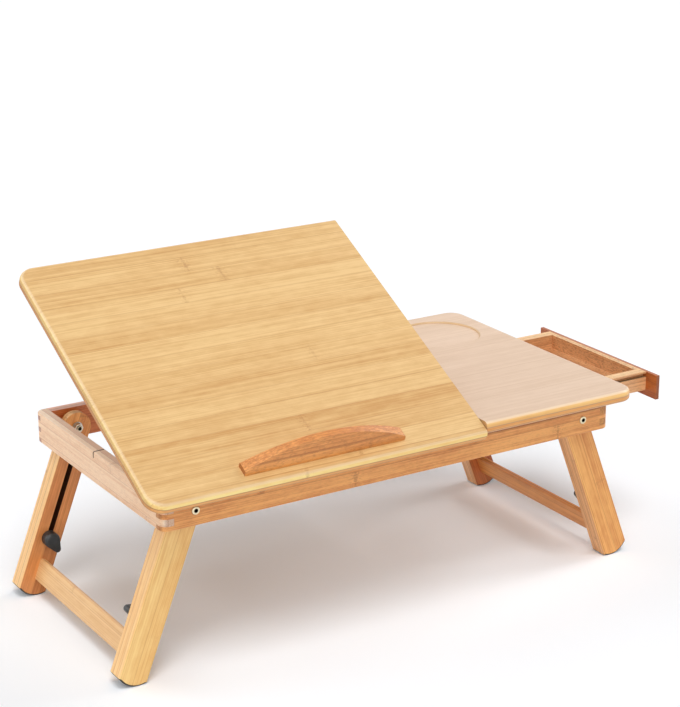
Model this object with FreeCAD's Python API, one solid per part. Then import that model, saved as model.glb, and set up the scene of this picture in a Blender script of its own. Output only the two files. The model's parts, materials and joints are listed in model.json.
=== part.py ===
import FreeCAD, Part
import math
import os

V = FreeCAD.Vector

# Bed tray table with a tilting panel, a fixed panel over a side drawer, and two folding leg frames
# whose inner planks slide down to raise the table. Millimetres, +X to the drawer side, +Y to the
# back, +Z up. Z = 0 is the floor at the lowest leg setting. The sizes are set out from the middle
# of the frame, and the finished pieces are moved so that X = 0 is the middle of the whole table.

# Frame
frame_length = 509.5
frame_depth = 280.0
apron_height = 32.0
apron_thickness = 12.0
deck_height = 184.0
frame_corner_radius = 8.0
arris_radius = 1.5
finger_height = 5.0
finger_gap = 7.0
middle_rail_x = -6.0
middle_rail_tongue = 4.0
kerf_width = 1.6
kerf_depth = 6.0
kerf_y = 3.0

# Panels
panel_thickness = 12.0
end_overhang = 20.25
front_overhang = 18.0
rear_overhang = 24.5
fixed_panel_length = 187.0
panel_gap = 1.0
panel_corner_radius = 18.0
panel_top_round = 5.0
panel_bottom_round = 3.0
cup_from_end = 67.5
cup_from_back = 64.5
cup_radius = 45.0
cup_depth = 2.0
cup_edge_round = 1.8

# Tilt hinge and its pose
tilt_at_rest = 28.0
hinge_barrel_radius = 2.5
hinge_barrel_gap = 0.3
hinge_leaf_thickness = 1.2
hinge_leaf_depth = 8.6
hinge_width = 30.0
hinge_knuckle_gap = 0.15
hinge_pin_radius = 1.2
hinge_inset = 70.0
hinge_screw_radius = 1.25
hinge_screw_head_radius = 2.3
hinge_screw_length = 8.0
hinge_screw_spacing = 18.0

# Ledge that stops a book or a screen from sliding off the tilted panel
ledge_length = 173.0
ledge_off_centre = 5.0
ledge_setback = 13.3
ledge_thickness = 13.0
ledge_top_thickness = 7.5
ledge_end_height = 5.0
ledge_height = 24.0
ledge_lean_from = 3.0
ledge_top_round = 1.2
ledge_dowel_spacing = 80.0

# Dowels
dowel_radius = 3.0
dowel_in_panel = 7.0
dowel_in_frame = 9.0
dowel_in_ledge = 8.0
dowel_from_split = 22.0
dowel_from_end = 46.0
dowel_from_corner = 30.0

# Prop under the tilting panel
prop_distance = 185.0
prop_length = 115.0
prop_rest_depth = 7.5
prop_axis_drop = 5.0
prop_rod_radius = 3.0
prop_arm_width = 14.0
prop_arm_thickness = 8.0
prop_eye_radius = 4.4
prop_arm_inset = 24.0
prop_block_width = 12.0
prop_block_length = 28.0
prop_block_height = 10.0
prop_side_gap = 1.0
prop_block_screw_offset = 10.0
rod_end_gap = 0.5
rack_thickness = 10.0
rack_length = 48.0
rack_start = 70.0
rack_foot = 2.0
notch_pitch = 7.0
notch_count = 5
notch_radius = 2.2
notch_rise = 0.9
notches_above_rest = 1
foot_clearance = 0.3

# Leg frames
leg_splay = 21.0
leg_width = 30.0
plank_thickness = 10.0
plank_gap = 0.15
leg_round = 1.5
pivot_above_apron_foot = 15.0
leg_stop_clearance = 0.15
foot_radius = 22.0
pad_thickness = 1.5
pad_worn_flat = 0.3
slide_top = 18.0
stud_distance = 115.0
extension_travel = 80.0
slot_clearance = 0.25
guide_key_from = 22.0
guide_key_length = 8.0
guide_key_width = 8.0
guide_key_depth = 3.0
guide_clearance = 0.2
crossbar_distance = 149.0
crossbar_inboard = 1.5
crossbar_height = 22.5
crossbar_thickness = 6.0
crossbar_round = 1.5
tenon_height = 16.0
tenon_thickness = 4.0
tenon_length = 7.0
tenon_clearance = 0.05

# Pivot bolts
bolt_radius = 2.5
bolt_head_radius = 4.0
bolt_head_height = 2.4
bolt_head_sunk = 1.4
bolt_socket_across = 3.0
bolt_socket_depth = 1.8
bolt_past_nut = 1.5
running_fit = 0.05
head_clearance = 0.2
spacer_thickness = 2.5
spacer_radius = 8.0
washer_radius = 5.5
washer_thickness = 1.0
face_gap = 0.1
nut_across = 8.0
nut_height = 4.0

# Clamp knobs
stud_radius = 2.5
stud_in_plank = 8.0
stud_in_knob = 8.5
insert_radius = 3.5
insert_length = 8.0
knob_radius = 8.0
knob_tip_radius = 3.5
knob_reach = 15.0
knob_height = 12.0
knob_round = 2.5
front_left_tip_angle = -150.0
rear_left_tip_angle = 65.0
front_right_tip_angle = -30.0
rear_right_tip_angle = 65.0

# Drawer
drawer_open_at_rest = 95.0
drawer_length = 130.0
drawer_half_width = 84.0
drawer_side_thickness = 12.0
drawer_wall_thickness = 6.0
drawer_top_gap = 5.0
drawer_height = 20.5
drawer_back_drop = 3.0
drawer_face_thickness = 5.0
drawer_face_margin = 17.0
drawer_face_foot = 0.5
drawer_stop_gap = 0.2
drawer_bottom_thickness = 3.0
drawer_bottom_rise = 2.0
drawer_bottom_groove = 3.0
groove_fit = 0.1
runner_drop = 7.0
runner_tongue_height = 3.6
runner_tongue_length = 5.0
runner_thickness = 11.5
runner_height = 18.0
runner_gap = 0.5
runner_groove_gap = 0.2
notch_gap = 0.8

# Wood screws
screw_radius = 1.6
screw_head_radius = 3.2
runner_screw_length = 24.0
rack_screw_length = 18.0
block_screw_length = 15.0
screw_point = 1.5

# Places worked out from the sizes
half_length = frame_length / 2
half_depth = frame_depth / 2
panel_split_x = half_length + end_overhang - fixed_panel_length
tilt_panel_x = (-half_length - end_overhang, panel_split_x - panel_gap / 2)
cup_centre_x = half_length + end_overhang - cup_from_end
cup_centre_y = half_depth + rear_overhang - cup_from_back
hinge_centres_x = (tilt_panel_x[0] + hinge_inset, tilt_panel_x[1] - hinge_inset)
ledge_centre_x = (tilt_panel_x[0] + tilt_panel_x[1]) / 2 + ledge_off_centre
foot_rod_x = (-half_length + apron_thickness + rod_end_gap,
              middle_rail_x - apron_thickness / 2 - rod_end_gap)
prop_arms_x = (foot_rod_x[0] + prop_arm_inset, foot_rod_x[1] - prop_arm_inset)
deck_dowels_x = (panel_split_x + dowel_from_split, half_length - dowel_from_end)
apron_foot = deck_height - apron_height
panel_top = deck_height + panel_thickness
splay = math.radians(leg_splay)
pivot_z = apron_foot + pivot_above_apron_foot
leg_half = leg_width / 2
pivot_in = (apron_thickness + leg_stop_clearance + leg_half / math.cos(splay)
            + pivot_above_apron_foot * math.tan(splay))
pivot_x = half_length - pivot_in
tilt_y = -half_depth - hinge_barrel_radius - hinge_barrel_gap
tilt_z = deck_height
leg_outer_y = half_depth - apron_thickness - spacer_thickness
slide_outer_y = leg_outer_y - plank_thickness - plank_gap
slide_inner_y = slide_outer_y - plank_thickness


def box(x0, x1, y0, y1, z0, z1):
    """A box between two corners, given as ranges."""
    return Part.makeBox(x1 - x0, y1 - y0, z1 - z0, V(x0, y0, z0))


def centred(middle, size):
    """The range of a size about its middle."""
    return middle - size / 2, middle + size / 2


def rod(start, end, radius):
    """A round rod from one point to another."""
    return Part.makeCylinder(radius, (end - start).Length, start, end - start)


def prism(points, direction):
    """A straight-sided outline pushed along a direction."""
    face = Part.Face(Part.makePolygon(list(points) + [points[0]]))
    return face.extrude(direction)


def edges_where(shape, test):
    """The edges whose middle point and direction pass a test."""
    found = []
    for edge in shape.Edges:
        middle = edge.valueAt((edge.FirstParameter + edge.LastParameter) / 2)
        ends = edge.Vertexes
        along = ends[-1].Point - ends[0].Point
        if test(middle, along, edge):
            found.append(edge)
    return found


def screw(head, direction, length, radius, head_radius):
    """A countersunk wood screw, its head flush at a point, its tip along a direction."""
    way = V(direction)
    way.normalize()
    sink = head_radius - radius
    neck = head + way * sink
    tip_base = head + way * (length - screw_point)
    cone = Part.makeCone(head_radius, radius, sink, head, way)
    shank = Part.makeCylinder(radius, length - screw_point - sink, neck, way)
    point = Part.makeCone(radius, radius / 4, screw_point, tip_base, way)
    return cone.fuse([shank, point])


def one(shape):
    """The single solid that a boolean left, with its splitter faces removed."""
    clean = shape.removeSplitter()
    if len(clean.Solids) != 1:
        raise ValueError("expected one solid, got %d" % len(clean.Solids))
    return clean.Solids[0]


def group(solids):
    """Several separate solids kept in one node."""
    return Part.makeCompound(solids)


def mirrored(shape, across_x, across_y):
    """A copy mirrored to the right and to the back where a sign is positive."""
    out = shape.copy()
    if across_x > 0:
        out = out.mirror(V(0, 0, 0), V(1, 0, 0))
    if across_y > 0:
        out = out.mirror(V(0, 0, 0), V(0, 1, 0))
    return out


def tilted(shape):
    """A piece of the tilting panel, modelled flat, at the panel's rest angle."""
    out = shape.copy()
    out.rotate(V(0, tilt_y, tilt_z), V(1, 0, 0), tilt_at_rest)
    return out


# Frame of five boards

def frame_envelope():
    """The outside of the frame: rounded corners and eased top and bottom arrises."""
    body = box(-half_length, half_length, -half_depth, half_depth, apron_foot, deck_height)
    corners = edges_where(body, lambda m, d, e: abs(d.z) > apron_height / 2)
    body = body.makeFillet(frame_corner_radius, corners)
    rims = edges_where(body, lambda m, d, e: abs(d.z) < arris_radius)
    return body.makeFillet(arris_radius, rims)


def finger_ranges():
    """Heights of the long boards' fingers, from the bottom up."""
    ranges = []
    foot = apron_foot
    while foot < deck_height:
        ranges.append((foot, min(foot + finger_height, deck_height)))
        foot += finger_height + finger_gap
    return ranges


def corner_fingers(side_x, side_y):
    """The long board's fingers at one corner, as blocks."""
    xs = sorted((side_x * half_length, side_x * (half_length - apron_thickness)))
    ys = sorted((side_y * half_depth, side_y * (half_depth - apron_thickness)))
    return [box(xs[0], xs[1], ys[0], ys[1], low, high) for low, high in finger_ranges()]


def bolt_places(side_y):
    """Where the two pivot bolts of a long board come through its outer face."""
    return [V(side_x * pivot_x, side_y * half_depth, pivot_z) for side_x in (-1, 1)]


def dowel(place, below, above):
    """An upright dowel through the plane of its place."""
    return rod(place - V(0, 0, below), place + V(0, 0, above), dowel_radius)


def deck_dowels():
    """Dowels that hold the fixed panel on the frame."""
    board_y = half_depth - apron_thickness / 2
    places = [V(x, side * board_y, deck_height) for x in deck_dowels_x for side in (-1, 1)]
    end_x = half_length - apron_thickness / 2
    end_y = half_depth - dowel_from_corner
    places += [V(end_x, side * end_y, deck_height) for side in (-1, 1)]
    return [dowel(place, dowel_in_frame, dowel_in_panel) for place in places]


def middle_rail_x_range():
    return centred(middle_rail_x, apron_thickness)


def middle_rail():
    """The cross board between the two places where the legs fold in."""
    x0, x1 = middle_rail_x_range()
    reach = half_depth - apron_thickness + middle_rail_tongue
    rail = box(x0, x1, -reach, reach, apron_foot, deck_height)
    return rail.cut(group(rack_screws()))


def long_apron(side_y):
    """The front (-1) or rear (1) board, with fingers, bolt holes and the middle rail's groove."""
    ys = sorted((side_y * half_depth, side_y * (half_depth - apron_thickness)))
    board = box(-half_length + apron_thickness, half_length - apron_thickness,
                ys[0], ys[1], apron_foot, deck_height)
    for side_x in (-1, 1):
        board = board.fuse(corner_fingers(side_x, side_y))
    board = board.common(frame_envelope())
    inward = V(0, -side_y, 0)
    for place in bolt_places(side_y):
        hole = Part.makeCylinder(bolt_radius + running_fit, apron_thickness, place, inward)
        sink = Part.makeCylinder(bolt_head_radius + head_clearance, bolt_head_sunk, place, inward)
        board = board.cut([hole, sink])
    board = board.cut([middle_rail()] + deck_dowels())
    if side_y < 0:
        board = board.cut([hinge_pocket(x) for x in hinge_centres_x])
        board = board.cut(frame_hinge_screws())
    return one(board)


def end_board(side_x):
    """An end board with the fingers that lie between the long boards' fingers."""
    xs = sorted((side_x * half_length, side_x * (half_length - apron_thickness)))
    board = box(xs[0], xs[1], -half_depth, half_depth, apron_foot, deck_height)
    for side_y in (-1, 1):
        board = board.cut(corner_fingers(side_x, side_y))
    return board.common(frame_envelope())


def left_apron():
    """The left end board, with the saw kerf across the middle of its top."""
    y0, y1 = centred(kerf_y, kerf_width)
    kerf = box(-half_length, -half_length + apron_thickness, y0, y1,
               deck_height - kerf_depth, deck_height)
    return one(end_board(-1).cut([kerf] + rack_screws()))


def right_end_board():
    """The right end board, notched from the top for the drawer box."""
    reach = drawer_half_width + notch_gap
    foot = drawer_box_foot() - notch_gap
    notch = box(half_length - apron_thickness, half_length, -reach, reach, foot, deck_height)
    return one(end_board(1).cut([notch] + deck_dowels()))


# Panels

def panel(x0, x1, rounded_x):
    """A flat panel whose two outer corners, at x = rounded_x, are rounded."""
    y0 = -half_depth - front_overhang
    y1 = half_depth + rear_overhang
    slab = box(x0, x1, y0, y1, deck_height, panel_top)
    corners = edges_where(slab, lambda m, d, e: abs(d.z) > panel_thickness / 2
                          and abs(m.x - rounded_x) < 1)
    slab = slab.makeFillet(panel_corner_radius, corners)
    split_x = x0 if rounded_x == x1 else x1

    def on_rim(level):
        return lambda m, d, e: abs(m.z - level) < 0.01 and abs(m.x - split_x) > 0.01

    slab = slab.makeFillet(panel_top_round, edges_where(slab, on_rim(panel_top)))
    slab = slab.makeFillet(panel_bottom_round, edges_where(slab, on_rim(deck_height)))
    return slab


def fixed_panel():
    """The panel over the drawer, with the shallow round recess for a cup."""
    x0 = panel_split_x + panel_gap / 2
    x1 = half_length + end_overhang
    slab = panel(x0, x1, x1)
    floor = V(cup_centre_x, cup_centre_y, panel_top - cup_depth)
    slab = slab.cut(Part.makeCylinder(cup_radius, cup_depth, floor))
    rim = edges_where(slab, lambda m, d, e: abs(m.z - panel_top) < 0.01
                      and e.Curve.TypeId == "Part::GeomCircle"
                      and abs(e.Curve.Radius - cup_radius) < 0.01)
    slab = slab.makeFillet(cup_edge_round, rim)
    return one(slab.cut(deck_dowels() + runner_screws()))


def tilt_panel_flat():
    """The tilting panel before it is tilted, with its pockets underneath."""
    x0, x1 = tilt_panel_x
    slab = panel(x0, x1, x0)
    slab = slab.cut([hinge_lid_pocket(x) for x in hinge_centres_x])
    slab = slab.cut(panel_hinge_screws() + ledge_dowels() + block_screws())
    return one(slab)


# Tilt hinges: a barrel in front of the front board, a leaf let into each piece of wood

def hinge_leaf_y_range():
    y0 = tilt_y + hinge_barrel_radius + hinge_barrel_gap
    return y0, y0 + hinge_leaf_depth


def hinge_pocket(x):
    """The shallow pocket in the front board's top for the fixed leaf."""
    x0, x1 = centred(x, hinge_width)
    y0, y1 = hinge_leaf_y_range()
    return box(x0, x1, y0 - hinge_barrel_gap, y1, deck_height - hinge_leaf_thickness, deck_height)


def hinge_lid_pocket(x):
    """The pocket under the panel for the moving leaf, with a groove for the barrel."""
    x0, x1 = centred(x, hinge_width)
    y0, y1 = hinge_leaf_y_range()
    leaf = box(x0, x1, y0, y1, deck_height, deck_height + hinge_leaf_thickness)
    reach = hinge_barrel_radius + hinge_barrel_gap
    groove = box(x0 - hinge_barrel_gap, x1 + hinge_barrel_gap, tilt_y - reach, tilt_y + reach,
                 deck_height, deck_height + reach)
    return leaf.fuse(groove)


def hinge_leaf(x, spans, low, high, screws):
    """One leaf with its knuckles, bored for the pin."""
    x0, x1 = centred(x, hinge_width)
    y0, y1 = hinge_leaf_y_range()
    plate = box(x0, x1, y0, y1, low, high)
    knuckles = []
    for start, end in spans:
        a = x0 + start * hinge_width + hinge_knuckle_gap / 2
        b = x0 + end * hinge_width - hinge_knuckle_gap / 2
        knuckles.append(rod(V(a, tilt_y, tilt_z), V(b, tilt_y, tilt_z), hinge_barrel_radius))
        knuckles.append(box(a, b, tilt_y, y0, low, high))
    leaf = plate.fuse(knuckles)
    bore = rod(V(x0, tilt_y, tilt_z), V(x1, tilt_y, tilt_z), hinge_pin_radius + running_fit)
    return one(leaf.cut([bore] + screws))


def frame_hinge_leaves():
    """The leaves on the front board, each with the two outer knuckles."""
    low = deck_height - hinge_leaf_thickness
    outer = ((0.0, 1 / 3), (2 / 3, 1.0))
    return [hinge_leaf(x, outer, low, deck_height, frame_hinge_screws()) for x in hinge_centres_x]


def panel_hinge_leaves():
    """The leaves under the tilting panel, each with the middle knuckle."""
    high = deck_height + hinge_leaf_thickness
    inner = ((1 / 3, 2 / 3),)
    return [hinge_leaf(x, inner, deck_height, high, panel_hinge_screws()) for x in hinge_centres_x]


def hinge_pins():
    pins = []
    for x in hinge_centres_x:
        x0, x1 = centred(x, hinge_width)
        pins.append(rod(V(x0, tilt_y, tilt_z), V(x1, tilt_y, tilt_z), hinge_pin_radius))
    return pins


def hinge_screw_row(head_z, way):
    """Two screws through each leaf, their heads flush with the leaf's outer face."""
    y0, y1 = hinge_leaf_y_range()
    screws = []
    for x in hinge_centres_x:
        for side in (-1, 1):
            head = V(x + side * hinge_screw_spacing / 2, (y0 + y1) / 2, head_z)
            screws.append(screw(head, V(0, 0, way), hinge_screw_length,
                                hinge_screw_radius, hinge_screw_head_radius))
    return screws


def frame_hinge_screws():
    return hinge_screw_row(deck_height, -1)


def panel_hinge_screws():
    return hinge_screw_row(deck_height, 1)


# Ledge on the tilting panel

def ledge_y():
    """The ledge's front face, where it meets the panel."""
    return -half_depth - front_overhang + ledge_setback


def ledge_flat():
    """An arched bar whose front face leans back, standing on the panel."""
    y0 = ledge_y()
    y1 = y0 + ledge_thickness
    x0, x1 = centred(ledge_centre_x, ledge_length)
    end_top = panel_top + ledge_end_height
    arch = Part.Arc(V(x1, y0, end_top), V(ledge_centre_x, y0, panel_top + ledge_height),
                    V(x0, y0, end_top))
    outline = [Part.makeLine(V(x0, y0, panel_top), V(x1, y0, panel_top)),
               Part.makeLine(V(x1, y0, panel_top), V(x1, y0, end_top)),
               arch.toShape(),
               Part.makeLine(V(x0, y0, end_top), V(x0, y0, panel_top))]
    bar = Part.Face(Part.Wire(outline)).extrude(V(0, ledge_thickness, 0))
    lean_foot = panel_top + ledge_lean_from
    lean_top = panel_top + ledge_height
    waste = prism([V(x0 - 1, y0, lean_foot),
                   V(x0 - 1, y1 - ledge_top_thickness, lean_top),
                   V(x0 - 1, y0, lean_top)], V(ledge_length + 2, 0, 0))
    bar = bar.cut(waste)
    rear = edges_where(bar, lambda m, d, e: abs(m.y - y1) < 0.01 and m.z > end_top + 1)
    bar = bar.makeFillet(ledge_top_round, rear)
    return one(bar.cut(ledge_dowels()))


def ledge_dowels():
    places = [V(ledge_centre_x + side * ledge_dowel_spacing / 2,
                ledge_y() + ledge_thickness / 2, panel_top) for side in (-1, 1)]
    return [dowel(place, dowel_in_panel, dowel_in_ledge) for place in places]


# Prop that holds the panel up, and the racks its foot rod stands on

def prop_axis(tilt):
    """The prop's hinge axis seen from the tilt axis, as (rearward, up), at a tilt angle."""
    turn = math.radians(tilt)
    return (prop_distance * math.cos(turn) + prop_axis_drop * math.sin(turn),
            prop_distance * math.sin(turn) - prop_axis_drop * math.cos(turn))


def prop_opening():
    """The prop's angle from the panel at rest, in degrees, so that its foot is at its depth."""
    rise = prop_axis(tilt_at_rest)[1]
    return math.degrees(math.asin((rise + prop_rest_depth) / prop_length)) - tilt_at_rest


def foot_place(tilt):
    """The foot rod's axis at a tilt, with the prop opening in a constant ratio to the tilt."""
    rearward, rise = prop_axis(tilt)
    lean = math.radians(tilt + prop_opening() * tilt / tilt_at_rest)
    return (tilt_y + rearward - prop_length * math.cos(lean),
            tilt_z + rise - prop_length * math.sin(lean))


def prop_hinge_y():
    return tilt_y + prop_distance


def prop_hinge_z():
    return tilt_z - prop_axis_drop


def propped(shape):
    """A piece of the prop, modelled flat under the panel, opened and tilted to rest."""
    out = shape.copy()
    out.rotate(V(0, prop_hinge_y(), prop_hinge_z()), V(1, 0, 0), prop_opening())
    return tilted(out)


def prop_rod(x0, x1, y):
    return rod(V(x0, y, prop_hinge_z()), V(x1, y, prop_hinge_z()), prop_rod_radius)


def prop_hinge_rod():
    reach = prop_arm_width / 2 + prop_side_gap
    return prop_rod(prop_arms_x[0] - reach, prop_arms_x[1] + reach, prop_hinge_y())


def prop_foot_rod():
    return prop_rod(foot_rod_x[0], foot_rod_x[1], prop_hinge_y() - prop_length)


def prop_arm(x):
    """One flat arm with a round eye at each end, bored for the two rods."""
    x0, x1 = centred(x, prop_arm_width)
    y1 = prop_hinge_y()
    y0 = y1 - prop_length
    z = prop_hinge_z()
    bar = box(x0, x1, y0, y1, z - prop_arm_thickness / 2, z + prop_arm_thickness / 2)
    eyes = [rod(V(x0, y, z), V(x1, y, z), prop_eye_radius) for y in (y0, y1)]
    return one(bar.fuse(eyes).cut([prop_hinge_rod(), prop_foot_rod()]))


def block_centres_x():
    """The hinge blocks stand just inside the arms."""
    shift = (prop_arm_width + prop_block_width) / 2 + prop_side_gap
    return prop_arms_x[0] + shift, prop_arms_x[1] - shift


def prop_hinge_block(x):
    """A block under the panel in which the hinge rod turns."""
    x0, x1 = centred(x, prop_block_width)
    y0, y1 = centred(prop_hinge_y(), prop_block_length)
    block = box(x0, x1, y0, y1, deck_height - prop_block_height, deck_height)
    bore = rod(V(x0, prop_hinge_y(), prop_hinge_z()), V(x1, prop_hinge_y(), prop_hinge_z()),
               prop_rod_radius + running_fit)
    return one(block.cut([bore] + block_screws()))


def block_screws():
    screws = []
    for x in block_centres_x():
        for side in (-1, 1):
            head = V(x, prop_hinge_y() + side * prop_block_screw_offset,
                     deck_height - prop_block_height)
            screws.append(screw(head, V(0, 0, 1), block_screw_length,
                                screw_radius, screw_head_radius))
    return screws


def rack_line():
    """The foot's place at rest and the direction in which it moves there."""
    step = 0.5
    y0, z0 = foot_place(tilt_at_rest - step)
    y1, z1 = foot_place(tilt_at_rest + step)
    way = V(0, y1 - y0, z1 - z0)
    way.normalize()
    rest_y, rest_z = foot_place(tilt_at_rest)
    return V(0, rest_y, rest_z), way


def rack(x0, x1):
    """A sloped strip with round notches; the foot rod clears the tips between them."""
    rest, way = rack_line()
    down = V(0, way.z, -way.y)
    tip = rest + down * (prop_rod_radius + foot_clearance)
    slope = way.z / way.y
    y0 = tilt_y + rack_start
    y1 = y0 + rack_length
    foot = apron_foot + rack_foot
    body = prism([V(x0, y0, foot), V(x0, y1, foot),
                  V(x0, y1, tip.z + slope * (y1 - tip.y)),
                  V(x0, y0, tip.z + slope * (y0 - tip.y))], V(x1 - x0, 0, 0))
    for index in range(notch_count):
        shift = (index + 1 + notches_above_rest - notch_count) * notch_pitch
        centre = tip + way * shift - down * notch_rise
        body = body.cut(rod(V(x0, centre.y, centre.z), V(x1, centre.y, centre.z), notch_radius))
    return one(body.cut(rack_screws()))


def left_rack():
    x0 = -half_length + apron_thickness
    return rack(x0, x0 + rack_thickness)


def middle_rack():
    x1 = middle_rail_x_range()[0]
    return rack(x1 - rack_thickness, x1)


def rack_screws():
    """Two screws through each rack into the board behind it."""
    screws = []
    z = apron_foot + rack_foot + rack_thickness / 2
    faces = ((-half_length + apron_thickness + rack_thickness, -1),
             (middle_rail_x_range()[0] - rack_thickness, 1))
    for x, way in faces:
        for share in (0.45, 0.85):
            head = V(x, tilt_y + rack_start + share * rack_length, z)
            screws.append(screw(head, V(way, 0, 0), rack_screw_length,
                                screw_radius, screw_head_radius))
    return screws


# Leg frames, modelled at the front left and mirrored to the other corners

def leg_point(along, outboard):
    """A point of the left leg from its distance below the pivot and outboard of its middle."""
    return (-pivot_x - along * math.sin(splay) - outboard * math.cos(splay),
            pivot_z - along * math.cos(splay) + outboard * math.sin(splay))


def leg_vector(along, outboard, y):
    x, z = leg_point(along, outboard)
    return V(x, y, z)


def foot_centre():
    """Distance below the pivot of the foot arc's centre. The arc dips just below the floor."""
    return (pivot_z - foot_radius + pad_worn_flat) / math.cos(splay)


def shoulder():
    """Distance below the pivot where a leg's edges end and its rounded foot begins."""
    return foot_centre() + math.sqrt(foot_radius ** 2 - leg_half ** 2)


def leg_bar(a0, a1, o0, o1, y0, y1):
    """A block in the leg's own directions: along, outboard and thickness."""
    points = [leg_vector(a0, o0, y0), leg_vector(a1, o0, y0),
              leg_vector(a1, o1, y0), leg_vector(a0, o1, y0)]
    return prism(points, V(0, y1 - y0, 0))


def leg_rod(along, y0, y1, radius):
    """A rod across the leg at a distance below the pivot."""
    return rod(leg_vector(along, 0, y0), leg_vector(along, 0, y1), radius)


def leg_blank(top, y0, y1, face_y):
    """A plank with a rounded foot, its arrises eased on the face at face_y.
    A top of None ends in the half round about the pivot."""
    start = 0 if top is None else top
    corners = [leg_vector(shoulder(), outboard, y0) for outboard in (leg_half, -leg_half)]
    toe = leg_vector(foot_centre() + foot_radius, 0, y0)
    edges = [Part.makeLine(leg_vector(start, leg_half, y0), corners[0]),
             Part.Arc(corners[0], toe, corners[1]).toShape(),
             Part.makeLine(corners[1], leg_vector(start, -leg_half, y0))]
    if top is None:
        edges.append(Part.Arc(leg_vector(0, -leg_half, y0), leg_vector(-leg_half, 0, y0),
                              leg_vector(0, leg_half, y0)).toShape())
    else:
        edges.append(Part.makeLine(leg_vector(top, -leg_half, y0), leg_vector(top, leg_half, y0)))
    blank = Part.Face(Part.Wire(edges)).extrude(V(0, y1 - y0, 0))
    top_z = leg_point(start, 0)[1]
    eased = edges_where(blank, lambda m, d, e: abs(m.y - face_y) < 0.01
                        and (top is None or abs(m.z - top_z) > leg_half))
    return blank.makeFillet(leg_round, eased)


def pad_region(y0, y1):
    """The band along the end of the foot that the rubber pad takes up."""
    band = leg_bar(shoulder(), shoulder() + leg_width, -leg_width, leg_width, y0, y1)
    return band.cut(leg_rod(foot_centre(), y0, y1, foot_radius - pad_thickness))


def pad(blank, y0, y1):
    """A rubber pad, worn flat where it stands on the floor."""
    middle = leg_point(foot_centre(), 0)[0]
    above = box(middle - leg_width, middle + leg_width, y0, y1, 0, leg_width)
    return one(blank.common(pad_region(y0, y1)).common(above))


def front_left_leg_blank():
    return leg_blank(None, -leg_outer_y, -leg_outer_y + plank_thickness, -leg_outer_y)


def front_left_slide_blank():
    return leg_blank(slide_top, -slide_outer_y, -slide_inner_y, -slide_inner_y)


def front_left_leg():
    """The pivoting plank: bolt bore, guide groove and the clamp insert's hole."""
    y0 = -leg_outer_y
    y1 = y0 + plank_thickness
    wood = front_left_leg_blank().cut(pad_region(y0, y1))
    wood = wood.cut(leg_rod(0, y0, y1, bolt_radius + running_fit))
    half = guide_key_width / 2 + guide_clearance
    a0 = guide_key_from - guide_clearance
    a1 = guide_key_from + guide_key_length + extension_travel + guide_clearance
    groove = leg_bar(a0, a1, -half, half, y1 - guide_key_depth - guide_clearance, y1)
    return one(wood.cut([groove, clamp_insert().fuse(clamp_stud())]))


def front_left_slide():
    """The sliding plank: slot for the clamp stud, guide key and mortise for the crossbar."""
    y0 = -slide_outer_y
    y1 = -slide_inner_y
    wood = front_left_slide_blank().cut(pad_region(y0, y1))
    half = stud_radius + slot_clearance
    a0 = stud_distance - extension_travel
    slot = leg_bar(a0, stud_distance, -half, half, y0, y1)
    ends = [leg_rod(along, y0, y1, half) for along in (a0, stud_distance)]
    wood = wood.cut([slot] + ends)
    key = leg_bar(guide_key_from, guide_key_from + guide_key_length, -guide_key_width / 2,
                  guide_key_width / 2, y0 - guide_key_depth, y0 + guide_key_depth)
    return one(wood.fuse(key).cut(crossbar_tenon(tenon_clearance)))


def crossbar_tenon(clearance):
    """The front tenon of the left crossbar, or its mortise with a clearance."""
    a0, a1 = centred(crossbar_distance, tenon_height + 2 * clearance)
    o0, o1 = centred(-crossbar_inboard, tenon_thickness + 2 * clearance)
    return leg_bar(a0, a1, o0, o1, -slide_inner_y - tenon_length, -slide_inner_y)


def left_crossbar():
    """The flat bar between the two sliding planks of the left leg frame."""
    a0, a1 = centred(crossbar_distance, crossbar_height)
    o0, o1 = centred(-crossbar_inboard, crossbar_thickness)
    bar = leg_bar(a0, a1, o0, o1, -slide_inner_y, slide_inner_y)
    bar = bar.makeFillet(crossbar_round, edges_where(bar, lambda m, d, e: abs(d.y) > 1))
    tenon = crossbar_tenon(0)
    return one(bar.fuse([tenon, mirrored(tenon, 0, 1)]))


def front_left_leg_pad():
    return pad(front_left_leg_blank(), -leg_outer_y, -leg_outer_y + plank_thickness)


def front_left_slide_pad():
    return pad(front_left_slide_blank(), -slide_outer_y, -slide_inner_y)


def clamp_insert():
    """The threaded insert in the pivoting plank, bored for the stud."""
    y1 = -leg_outer_y + plank_thickness
    return leg_rod(stud_distance, y1 - insert_length, y1, insert_radius)


def clamp_insert_ring():
    return one(clamp_insert().cut(clamp_stud()))


def clamp_stud():
    """The stud that passes the slot and ends inside the knob."""
    y0 = -leg_outer_y + plank_thickness - stud_in_plank
    return leg_rod(stud_distance, y0, -slide_inner_y + face_gap + stud_in_knob, stud_radius)


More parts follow.
